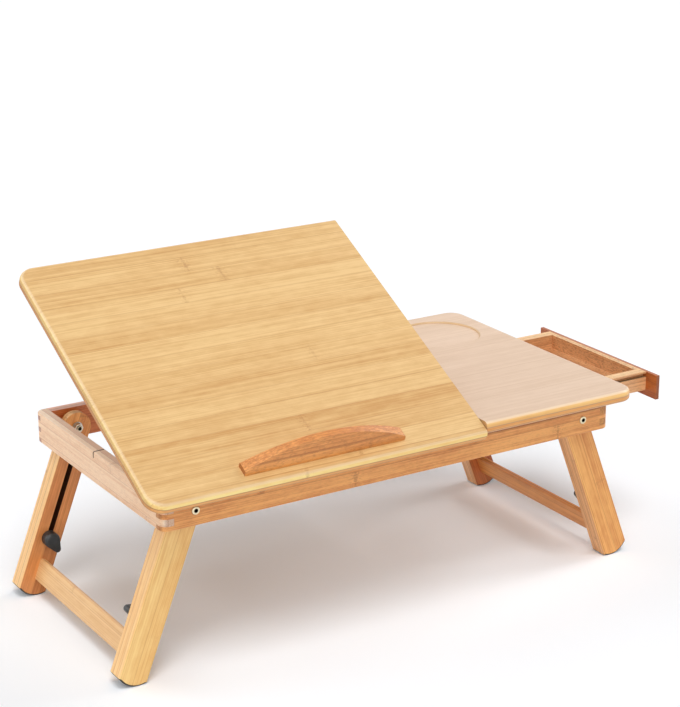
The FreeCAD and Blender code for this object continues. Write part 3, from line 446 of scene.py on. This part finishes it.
def bamboo(name, tones, turn=(0, 0, 0), origin=(0, 0, 0), shift=0.0, strip=0.018,
           layer=0.0055, contrast=1.0, knuckles=0.8, speckles=0.0, edges=None, ply=None,
           wear_and_highlight=None, shade=None, shade_colour=CREVICE):
    """A bamboo whose grain is X after the board is turned by the given degrees."""
    material = new_material(name)
    w = Wires(material.node_tree)
    spot = w.node("ShaderNodeTexCoord")

    def turned(vector):
        made = w.node("ShaderNodeVectorRotate", Vector=vector)
        made.rotation_type = "EULER_XYZ"
        made.invert = True
        made.inputs["Rotation"].default_value = [math.radians(v) for v in turn]
        return made.outputs[0]

    on_board = turned(w.vector("SUBTRACT", spot.outputs["Object"], origin))
    facing = turned(spot.outputs["Normal"])
    light, dark, end = tones
    if edges:
        on_edge = w.ramp(w.math("ABSOLUTE", w.parts(facing)["Z"]), 0.45, 0.93, 1.0, 0.0)
        edge_light, edge_dark = edges[:2]
        if ply:
            upper = w.ramp(w.parts(on_board)["Z"], ply - PLY_SOFT, ply + PLY_SOFT)
            edge_light = w.blend(upper, edges[2], edge_light)
            edge_dark = w.blend(upper, edges[3], edge_dark)
            for height in (ply, ply * LOWER_SEAM):
                seam = w.times(w.within(w.parts(on_board)["Z"], height, SEAM_HALF),
                               SEAM_DARKNESS)
                edge_light = w.blend(seam, edge_light, end)
                edge_dark = w.blend(seam, edge_dark, end)
        light = w.blend(on_edge, light, edge_light)
        dark = w.blend(on_edge, dark, edge_dark)
    wood = w.tree.nodes.new("ShaderNodeGroup")
    wood.node_tree = recipe
    for key, value in (("Place", w.vector("ADD", on_board, (shift, 0, 0))), ("Facing", facing),
                       ("Light", light), ("Dark", dark), ("End", end), ("Strip", strip),
                       ("Layer", layer), ("Contrast", contrast), ("Knuckles", knuckles),
                       ("Speckles", speckles)):
        w.feed(wood.inputs[key], value)
    colour = wood.outputs["Color"]
    # Painted highlight: the rounded upper rim is painted paler.
    if wear_and_highlight:
        up = w.parts(facing)["Z"]
        rim = w.times(w.ramp(up, 0.45, 0.70), w.ramp(up, 0.88, 0.97, 1.0, 0.0))
        colour = w.blend(w.times(rim, PAINTED_RIM_SHARE), colour, wear_and_highlight)
    if shade:
        in_crevice = shade(w, w.parts(spot.outputs["Object"]), w.parts(on_board), w.parts(facing))
        colour = w.blend(in_crevice, colour, shade_colour)
    relief = w.node("ShaderNodeBump", Height=wood.outputs["Height"], Strength=0.25,
                    Distance=0.00012)
    shine = w.node("ShaderNodeBsdfPrincipled", Base_Color=colour,
                   Roughness=wood.outputs["Roughness"], Normal=relief.outputs[0],
                   Coat_Weight=0.14, Coat_Roughness=0.30)
    w.node("ShaderNodeOutputMaterial", Surface=shine.outputs[0])
    return material


def dress(node, material):
    """Gives a frame piece its material in every slot."""
    slots = nodes[node].data.materials
    for index in range(len(slots)):
        slots[index] = material
    if not len(slots):
        slots.append(material)


def middle_of(node):
    """The middle of a piece's box."""
    low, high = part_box(node)
    return tuple((low + high) / 2)


TONES = {
    "yellow": (srgb(227, 190, 131), srgb(197, 147, 84), srgb(166, 106, 52)),
    "pale": (srgb(226, 198, 173), srgb(208, 176, 147), srgb(184, 140, 102)),
    "rosy": (srgb(252, 213, 174), srgb(228, 171, 122), srgb(160, 96, 56)),
    "honey": (srgb(246, 184, 104), srgb(208, 128, 60), srgb(140, 72, 30)),
    "orange": (srgb(244, 174, 98), srgb(200, 116, 52), srgb(132, 68, 28)),
    "straw": (srgb(248, 208, 134), srgb(226, 166, 90), srgb(186, 120, 62)),
    "sand": (srgb(238, 194, 136), srgb(212, 156, 98), srgb(172, 112, 62)),
    "amber": (srgb(232, 160, 86), srgb(190, 112, 48), srgb(132, 72, 34)),
    "cinnamon": (srgb(222, 148, 84), srgb(180, 104, 50), srgb(116, 60, 28)),
    "rust": (srgb(214, 128, 68), srgb(172, 88, 38), srgb(112, 52, 22)),
    "ember": (srgb(190, 104, 42), srgb(148, 70, 24), srgb(96, 44, 18)),
    "brown": (srgb(228, 174, 122), srgb(186, 124, 76), srgb(116, 66, 36)),
}
ALONG_X = (0, 0, 0)
ALONG_Y = (0, 0, 90)
print("tones", sorted(TONES))


# %% [markdown]
# ## The two tops
# The tilting panel is fresh yellow bamboo in broad strips. The fixed panel is the same make of
# board, but paler and pinker, as sorted from another batch, and so plain that hardly a knuckle
# shows. Both are glued up from layers: the cut edge shows a straw upper layer, thin dark glue
# lines and a browner lower part. The tilting panel's pattern is turned with it, so that its
# layers follow its faces. The pattern starts a little below the undersides, because a layer
# that ends exactly on a face would flicker there.

# %% Dress the tops
TILT = 28.0
BELOW_LAYERS = 0.001
RECESS_SPOT = (0.17819, 0.1000)
RECESS_RADIUS = 0.0450
RECESS_RIM = 0.003
LOWER_LAYER = (srgb(240, 178, 102), srgb(206, 134, 68))
TILT_EDGES = (srgb(255, 232, 152), srgb(238, 188, 106)) + LOWER_LAYER
FIXED_EDGES = (srgb(241, 196, 124), srgb(214, 154, 84)) + LOWER_LAYER
# Painted highlight: the colour of the rounded upper rims of the tops.
PAINTED_RIM_COLOUR = srgb(250, 230, 196)
RECESS_WALL = srgb(212, 178, 136)
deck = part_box("fixed_panel")[0].z
panel_half = (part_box("fixed_panel")[1].z - deck) / 2
tilt_origin = (0, middle_of("hinge_pins")[1], deck)


def panel_top(name, tones, edges, **looks):
    """A two-layer board: its layers meet half way through its thickness."""
    layer = panel_half + BELOW_LAYERS
    return bamboo(name, tones, layer=layer, edges=edges, ply=layer, wear_and_highlight=PAINTED_RIM_COLOUR, **looks)


def turned_down(y, z, degrees):
    """A point a little under the underside of a panel that leans by the given degrees."""
    lean = math.radians(degrees)
    return (0, y + BELOW_LAYERS * math.sin(lean), z - BELOW_LAYERS * math.cos(lean))


def recess_wall(w, spot, board, facing):
    """The cup recess cuts into the board, so its wall shows neither layers nor the painted rim
    highlight.
    """
    x, y = (w.math("SUBTRACT", spot[axis], at) for axis, at in zip("XY", RECESS_SPOT))
    away = w.math("SQRT", w.math("ADD", w.times(x, x), w.times(y, y)))
    reach = RECESS_RADIUS + RECESS_RIM
    near = w.ramp(away, reach, reach + 0.001, 1.0, 0.0)
    return w.times(near, w.ramp(facing["Z"], 0.90, 0.98, 1.0, 0.0))


dress("tilt_panel", panel_top("tilt_panel_bamboo", TONES["yellow"], TILT_EDGES,
                              turn=(TILT, 0, 0), strip=0.021, contrast=0.9,
                              origin=turned_down(tilt_origin[1], deck, TILT)))
dress("fixed_panel", panel_top("fixed_panel_bamboo", TONES["pale"], FIXED_EDGES,
                               origin=turned_down(0, deck, 0), shift=1.3, strip=0.024,
                               contrast=0.7, knuckles=0.0, shade=recess_wall,
                               shade_colour=RECESS_WALL))
dress("book_ledge", bamboo("book_ledge_bamboo", TONES["amber"], turn=(TILT, 0, 0),
                           origin=tilt_origin, shift=2.1, strip=0.009, layer=0.05,
                           speckles=0.28, knuckles=0.3, contrast=1.2))
print("deck height", round(deck, 4))


# %% [markdown]
# ## The frame's boards
# The long boards run along the table and the end boards across it. The left end board is
# rosier than the long boards, and their finger joints show as stripes of another tone at the
# corners, because each board carries its own material through its fingers. The edge faces of
# the left end board and the rear board are painted paler, a painted highlight that lifts their
# top edges out of the tilting panel's shadow. The rear board's darker tone is partly the
# board's own tone and partly painted shade for its face under the tilting panel. The left end
# board has a thin saw cut near its middle, painted dark inside as shade, and the front board is
# painted darker under the panels' overhang, a painted shadow.

# %% Dress the frame
KERF_PLACE = 0.003
KERF_HALF = 0.0009
KERF_DEPTH = 0.0062
# Painted shadow on the front board under the panels' overhang: it starts this far below the deck
# and is full from here up.
SHADOW_BAND_STARTS = 0.0105
SHADOW_BAND_FULL = 0.0066
# Painted highlight: the edge faces of these two boards are painted paler, to lift their top edges
# out of the tilting panel's shadow.
PAINTED_LIGHT_EDGES = {
    "left_apron": (srgb(255, 234, 210), srgb(252, 216, 184)),
    "rear_apron": (srgb(248, 200, 176), srgb(228, 168, 140)),
}
FRAME_BOARDS = {
    "front_apron": ("orange", ALONG_X, 0.4, 0.016),
    # The rear board's darker rust is partly its own tone and partly painted shade for its face
    # under the tilting panel.
    "rear_apron": ("rust", ALONG_X, 3.1, 0.016),
    "left_apron": ("rosy", ALONG_Y, 0.9, 0.016),
    "right_end_board": ("honey", ALONG_Y, 2.2, 0.016),
    "middle_rail": ("honey", ALONG_Y, 4.4, 0.016),
    "front_runner_rail": ("rosy", ALONG_X, 5.2, 0.012),
    "rear_runner_rail": ("rosy", ALONG_X, 6.7, 0.012),
    "left_rack": ("amber", ALONG_Y, 7.4, 0.010),
    "middle_rack": ("amber", ALONG_Y, 8.8, 0.010),
}


def board_on_edge(turn):
    """An upright board's strips are stacked in its height, so it is rolled onto its edge."""
    return (90, turn[1], turn[2])


def saw_cut(w, spot, board, facing):
    """The walls of the saw cut, which reaches down from the board's upper edge, painted dark as
    shade.
    """
    near_top = w.ramp(spot["Z"], deck - KERF_DEPTH - 0.0002, deck - KERF_DEPTH)
    return w.times(w.within(spot["Y"], KERF_PLACE, KERF_HALF), near_top, 0.9)


def under_panels(w, spot, board, facing):
    """The panels reach out over the front board, and the corner under them gets a painted shadow.
    """
    return w.ramp(spot["Z"], deck - SHADOW_BAND_STARTS, deck - SHADOW_BAND_FULL, 0.0, 0.6)


SHADES = {"left_apron": saw_cut, "front_apron": under_panels}


for name, (tone, turn, shift, strip) in FRAME_BOARDS.items():
    dress(name, bamboo(name + "_bamboo", TONES[tone], turn=board_on_edge(turn),
                       origin=middle_of(name), shift=shift, strip=strip, layer=0.0061,
                       contrast=1.15, speckles=0.12, edges=PAINTED_LIGHT_EDGES.get(name),
                       shade=SHADES.get(name)))
print("frame boards", len(FRAME_BOARDS))


# %% [markdown]
# ## The drawer
# The drawer is a shade browner than the tops. Its sides run along the table and its walls and
# face run across it. Its inner faces are speckled and its sides are pale along the top. The
# grooves that carry it are painted dark inside as shade.

# %% Dress the drawer
DRAWER_BOARDS = {
    "drawer_face": ("ember", ALONG_Y, 0.2, 0.15),
    "drawer_front_wall": ("brown", ALONG_Y, 1.6, 0.45),
    "drawer_back_wall": ("brown", ALONG_Y, 2.9, 0.45),
    "drawer_side_front": ("brown", ALONG_X, 3.8, 0.20),
    "drawer_side_rear": ("brown", ALONG_X, 4.9, 0.20),
}
PALE_EDGES = (srgb(244, 202, 148), srgb(218, 166, 110))
GROOVE_DROP = 0.0088
GROOVE_HALF = 0.0022
side_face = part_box("drawer_side_rear")[1].y
tongue_reach = side_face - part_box("rear_runner_rail")[0].y


def runner_groove(w, spot, board, facing):
    """The groove's walls, between the side's outer face and the tongue's reach, painted dark as
    shade.
    """
    out = w.math("ABSOLUTE", spot["Y"])
    middle = side_face - tongue_reach / 2
    tall = w.within(spot["Z"], deck - GROOVE_DROP, GROOVE_HALF)
    return w.times(w.within(out, middle, tongue_reach / 2 - 0.0003), tall, 0.65)


for name, (tone, turn, shift, speckles) in DRAWER_BOARDS.items():
    dress(name, bamboo(name + "_bamboo", TONES[tone], turn=board_on_edge(turn),
                       origin=middle_of(name), shift=shift, strip=0.011, layer=0.013,
                       knuckles=0.3, speckles=speckles,
                       edges=None if name == "drawer_face" else PALE_EDGES,
                       shade=runner_groove if "side" in name else None))
dress("drawer_bottom", bamboo("drawer_bottom_bamboo", TONES["brown"], turn=ALONG_Y,
                              origin=tuple(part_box("drawer_bottom")[0]), shift=7.7,
                              strip=0.017, layer=0.02, knuckles=0.3, speckles=0.5))
print("drawer boards", len(DRAWER_BOARDS) + 1, "groove depth", round(tongue_reach, 4))


# %% [markdown]
# ## Legs
# A leg is two planks. The front left leg is straw yellow, and the outer planks of the others
# are honey or cinnamon, with inner, sliding planks that are darker and redder on their faces.
# The grain follows the splayed leg, so the pattern starts at the leg's pivot and is turned by
# the splay before the recipe sees it. In that frame the clamp's slot is a plain strip along the
# plank's middle. Its walls, and the outer plank where it shows through the slot, are painted
# dark as shade.

# %% Dress the legs
SPLAY = 21.0
SLOT_MIDDLE = 0.076
SLOT_REACH = 0.044
SLOT_HALF = 0.0031
INNER_FACE_WITHIN = 0.1160
LEGS = {
    "front_left": ("straw", "straw", -1),
    "rear_left": ("honey", "cinnamon", -1),
    "front_right": ("honey", "amber", 1),
    "rear_right": ("cinnamon", "rust", 1),
}
LEG_EDGES = {-1: (srgb(252, 208, 144), srgb(228, 168, 100)),
             1: (srgb(240, 184, 124), srgb(206, 138, 82))}


def down_the_leg(side):
    """Turns X to run down a leg that splays to its side, with the plank's face upwards."""
    return (90, 90 - side * SPLAY, 0)


def slot_strip(w, board):
    """The strip along a plank's middle that the clamp's slot takes up."""
    return w.times(w.within(board["X"], SLOT_MIDDLE, SLOT_REACH, 0.001),
                   w.within(board["Y"], 0.0, SLOT_HALF))


def slot_walls(w, spot, board, facing):
    """The slot's walls: the faces in that strip that look across the plank, painted dark as
    shade.
    """
    across = w.ramp(w.math("ABSOLUTE", facing["Z"]), 0.35, 0.6, 1.0, 0.0)
    return w.times(slot_strip(w, board), across)


def slot_floor(w, spot, board, facing):
    """The strip of the outer plank that shows through the slot, painted dark as shade."""
    flat = w.ramp(w.math("ABSOLUTE", facing["Z"]), 0.7, 0.9)
    outer = w.math("ABSOLUTE", spot["Y"])
    inner_face = w.ramp(outer, INNER_FACE_WITHIN - 0.0002, INNER_FACE_WITHIN + 0.0002,
                        1.0, 0.0)
    return w.times(slot_strip(w, board), flat, inner_face, 0.9)


for count, (name, (outer, inner, side)) in enumerate(LEGS.items()):
    pivot = joint_place["left_legs_fold" if side < 0 else "right_legs_fold"]
    for piece, tone, shade in (("leg", outer, slot_floor), ("slide", inner, slot_walls)):
        node = name + "_" + piece
        origin = (pivot.x, middle_of(node)[1], pivot.z)
        dress(node, bamboo(node + "_bamboo", TONES[tone], turn=down_the_leg(side),
                           origin=origin, shift=1.1 * count + len(piece), strip=0.0135,
                           layer=0.012, edges=LEG_EDGES[side], shade=shade))
for name, tone, side in (("left_crossbar", "sand", -1), ("right_crossbar", "amber", 1)):
    dress(name, bamboo(name + "_bamboo", TONES[tone], turn=(90 - side * SPLAY, 0, 90),
                       origin=middle_of(name), shift=0.6 * side, strip=0.012, layer=0.013))
print("planks", 2 * len(LEGS), "crossbars", 2)


# %% [markdown]
# ## The prop
# The arms of the prop, with the grain along them, and its blocks are plain honey bamboo. The
# two rods are turned dowels and share their rosy wood with the dowels under the tops.

# %% Dress the prop
prop_low, prop_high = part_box("prop_arm_left")
run = math.degrees(math.atan2(prop_high.z - prop_low.z, prop_high.y - prop_low.y))
for name, shift in (("prop_arm_left", 0.5), ("prop_arm_right", 1.9)):
    dress(name, bamboo(name + "_bamboo", TONES["honey"], turn=(run, 0, 90),
                       origin=middle_of(name), shift=shift, strip=0.007, layer=0.02))
dress("prop_hinge_blocks", bamboo("prop_block_bamboo", TONES["honey"], turn=(TILT, 0, 0),
                                  origin=tilt_origin, shift=3.3, strip=0.014, layer=0.02))
rod_wood = bamboo("rod_bamboo", TONES["rosy"], shift=4.2, strip=0.02, layer=0.02)
for name in ("prop_hinge_rod", "prop_foot_rod", "deck_dowels", "ledge_dowels"):
    dress(name, rod_wood)
print("prop run", round(run, 1), "degrees")


# %% [markdown]
# ## Metal, rubber and plastic
# The bolts and hinges are nickel plated steel with faint polishing marks. The sockets of the
# bolts and the ends of their threads are painted dark as shade, so they read as dark dots in
# a bright ring. The inserts are machined brass. The pads under the feet are thin black rubber
# with a dusty bloom. The knobs are black plastic with the fine grain of a mould.

# %% Other finishes
SHADOWED = srgb(34, 28, 24)
POLISH_MARKS = 2400
POLISH_DEPTH = 0.00001
SOCKET_RADIUS = 0.0021
THREAD_RADIUS = 0.0030


def plain_finish(name, colour, wear_and_highlight, roughness, rough_change, scale, metallic=0.0,
                 relief=0.00004, dark_middles=()):
    """A finish whose colour and roughness drift a little from place to place."""
    material = new_material(name)
    w = Wires(material.node_tree)
    spot = w.node("ShaderNodeTexCoord").outputs["Object"]
    grain = w.noise(spot, scale, scale, 3.0, 0.6)
    cloud = w.noise(spot, scale / 22, scale / 22, 2.0)
    mixed = w.blend(w.ramp(cloud, -0.15, 0.2), colour, wear_and_highlight)
    # Painted shade: a dark disc round each given middle, for a bolt's socket or a nut's thread
    # end.
    for middle, reach in dark_middles:
        place = w.parts(w.vector("SUBTRACT", spot, (middle.x, 0, middle.z)))
        away = w.math("SQRT", w.math("ADD", w.times(place["X"], place["X"]),
                                     w.times(place["Z"], place["Z"])))
        mixed = w.blend(w.ramp(away, reach - 0.0003, reach + 0.0003, 1.0, 0.0), mixed,
                        SHADOWED)
    dent = w.node("ShaderNodeBump", Height=grain, Strength=0.35, Distance=relief)
    shine = w.node("ShaderNodeBsdfPrincipled", Base_Color=mixed, Normal=dent.outputs[0],
                   Roughness=w.math("MULTIPLY_ADD", grain, rough_change,
                                    roughness + rough_change / 2), Metallic=metallic)
    w.node("ShaderNodeOutputMaterial", Surface=shine.outputs[0])
    return material


def polished(name, colour, wear_and_highlight, roughness, rough_change=0.18, dark_middles=()):
    """A metal with faint polishing marks."""
    return plain_finish(name, colour, wear_and_highlight, roughness, rough_change, POLISH_MARKS,
                        metallic=1.0, relief=POLISH_DEPTH, dark_middles=dark_middles)


pivots = [joint_place["left_legs_fold"], joint_place["right_legs_fold"]]
nickel = polished("nickel_plate", srgb(214, 211, 204), srgb(190, 186, 178), 0.20)
bolt_metal = polished("bolt_nickel", srgb(236, 222, 188), srgb(206, 190, 152), 0.22,
                      dark_middles=[(pivot, SOCKET_RADIUS) for pivot in pivots])
nut_metal = polished("nut_nickel", srgb(222, 212, 196), srgb(190, 178, 160), 0.24,
                     dark_middles=[(pivot, THREAD_RADIUS) for pivot in pivots])
brass = polished("machined_brass", srgb(214, 178, 104), srgb(186, 148, 80), 0.26, 0.16)
rubber = plain_finish("foot_rubber", srgb(42, 38, 36), srgb(62, 57, 53), 0.70, 0.20, 1500)
plastic = plain_finish("knob_plastic", srgb(30, 32, 33), srgb(40, 42, 43), 0.32, 0.22, 2600,
                       relief=0.00003)
for name in nodes:
    if any(word in name for word in ("screws", "studs", "leaves", "hinge_pins", "pivot_")):
        dress(name, nickel)
    if "inserts" in name:
        dress(name, brass)
    if name.endswith("_pads"):
        dress(name, rubber)
    if name.endswith("_knob"):
        dress(name, plastic)
dress("pivot_bolts", bolt_metal)
dress("pivot_nuts", nut_metal)
print("undressed", [n for n, o in nodes.items() if not o.data.materials])


# %% [markdown]
# ## The knobs
# A clamp knob is a moulded drop: a round hub with a wing that a thumb can push, and a face
# that swells a little. It could be cut from a block with curves, but a drop is a circle one
# side of which was pulled away and made smaller. So it starts as a cylinder, the half towards
# the wing is shrunk and moved out in one go, and the sides stay straight lines that touch both
# rounds. Insetting the face and lifting what is left, three times over, makes the swell. It is
# modelled once, lying flat with the wing along X.

# %% Model one knob
HUB_RADIUS = 0.0080
TIP_RADIUS = 0.0035
TIP_REACH = 0.0115
RIM_HEIGHT = 0.0104
FULL_HEIGHT = 0.0120
SWELL_STEPS = ((0.0010, 0.46), (0.0010, 0.30), (0.0008, 0.24))


def select_where(test):
    """Selects the vertices of the mesh in edit mode that pass a test of their place."""
    bpy.ops.mesh.select_mode(type="VERT")
    bpy.ops.mesh.select_all(action="DESELECT")
    bpy.ops.object.mode_set(mode="OBJECT")
    for vertex in bpy.context.object.data.vertices:
        vertex.select = test(vertex.co)
    bpy.ops.object.mode_set(mode="EDIT")


def swell(inset, lift):
    """Shrinks the selected face inwards and lifts it."""
    bpy.ops.mesh.inset(thickness=inset)
    bpy.ops.transform.translate(value=(0, 0, lift))


bpy.ops.object.select_all(action="DESELECT")
bpy.ops.mesh.primitive_cylinder_add(vertices=60, radius=HUB_RADIUS, depth=RIM_HEIGHT,
                                    location=(0, 0, RIM_HEIGHT / 2))
knob = bpy.context.object
bpy.ops.object.transform_apply(location=True, rotation=True, scale=True)
bpy.ops.object.mode_set(mode="EDIT")
touch = math.acos((HUB_RADIUS - TIP_RADIUS) / TIP_REACH)
wing_from = HUB_RADIUS * math.cos(touch)
select_where(lambda co: co.x > wing_from)
small = TIP_RADIUS / HUB_RADIUS
bpy.ops.transform.resize(value=(small, small, 1), center_override=(0, 0, 0))
bpy.ops.transform.translate(value=(TIP_REACH, 0, 0))
select_where(lambda co: co.z > RIM_HEIGHT - 1e-5)
bpy.ops.mesh.select_mode(type="FACE")
rise = FULL_HEIGHT - RIM_HEIGHT
for inset, share in SWELL_STEPS:
    swell(inset, rise * share)
bpy.ops.object.mode_set(mode="OBJECT")
print("knob size", [round(v, 4) for v in knob.dimensions])


# %% [markdown]
# ## Round its rims
# No rim of a moulded knob is sharp. A bevel rounds every edge where two faces meet at a steep
# angle, and the shading runs smoothly over all softer ones.

# %% Round its rims
RIM_ROUND = 0.0007

round_rims = knob.modifiers.new("round_rims", "BEVEL")
round_rims.width = RIM_ROUND
round_rims.segments = 3
round_rims.limit_method = "ANGLE"
round_rims.angle_limit = math.radians(50)
bpy.ops.object.modifier_apply(modifier=round_rims.name)
bpy.ops.object.shade_smooth_by_angle(angle=math.radians(48))
knob.data.materials.append(plastic)
print("knob faces", len(knob.data.polygons))


# %% [markdown]
# ## Fit the four knobs
# The four knobs are copies of that one. Each sits on its stud against the inner plank, and its
# face looks to the middle of the table. A clamp stops wherever it is tight, so the wings point
# different ways: both front ones up to the left, the rear ones down and inwards. Three
# directions make the turn: the wing is the copy's X, the face its Z, and Y follows from the
# two, so no copy is mirrored and every face still points outwards.

# %% Fit the knobs
WINGS = {
    "front_left": 150.0,
    "front_right": 150.0,
    "rear_left": -65.0,
    "rear_right": -115.0,
}


def fit_knob(corner, wing_angle):
    """A copy of the knob at one corner, its wing at an angle up from the table's X."""
    node = corner + "_knob"
    at_front = corner.startswith("front")
    low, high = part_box(node)
    hub = joint_place[node + "_turn"]
    angle = math.radians(wing_angle)
    wing = Vector((math.cos(angle), 0, math.sin(angle)))
    look = Vector((0, 1 if at_front else -1, 0))
    base = low.y if at_front else high.y
    piece = knob.copy()
    piece.data = knob.data.copy()
    piece.name = node + "_moulded"
    bpy.context.scene.collection.objects.link(piece)
    turn = Matrix((wing, look.cross(wing), look)).transposed().to_4x4()
    piece.matrix_world = Matrix.Translation((hub.x, base, hub.z)) @ turn
    bpy.ops.object.select_all(action="DESELECT")
    piece.select_set(True)
    bpy.context.view_layer.objects.active = piece
    bpy.ops.object.transform_apply(location=True, rotation=True, scale=True)
    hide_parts(node)
    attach(piece, node)
    return piece


for corner, wing_angle in WINGS.items():
    made = fit_knob(corner, wing_angle)
    print(made.name, [round(v, 4) for v in made.dimensions])
bpy.data.objects.remove(knob)


# %% [markdown]
# ## Size
# The dressed table must be as large as the frame.
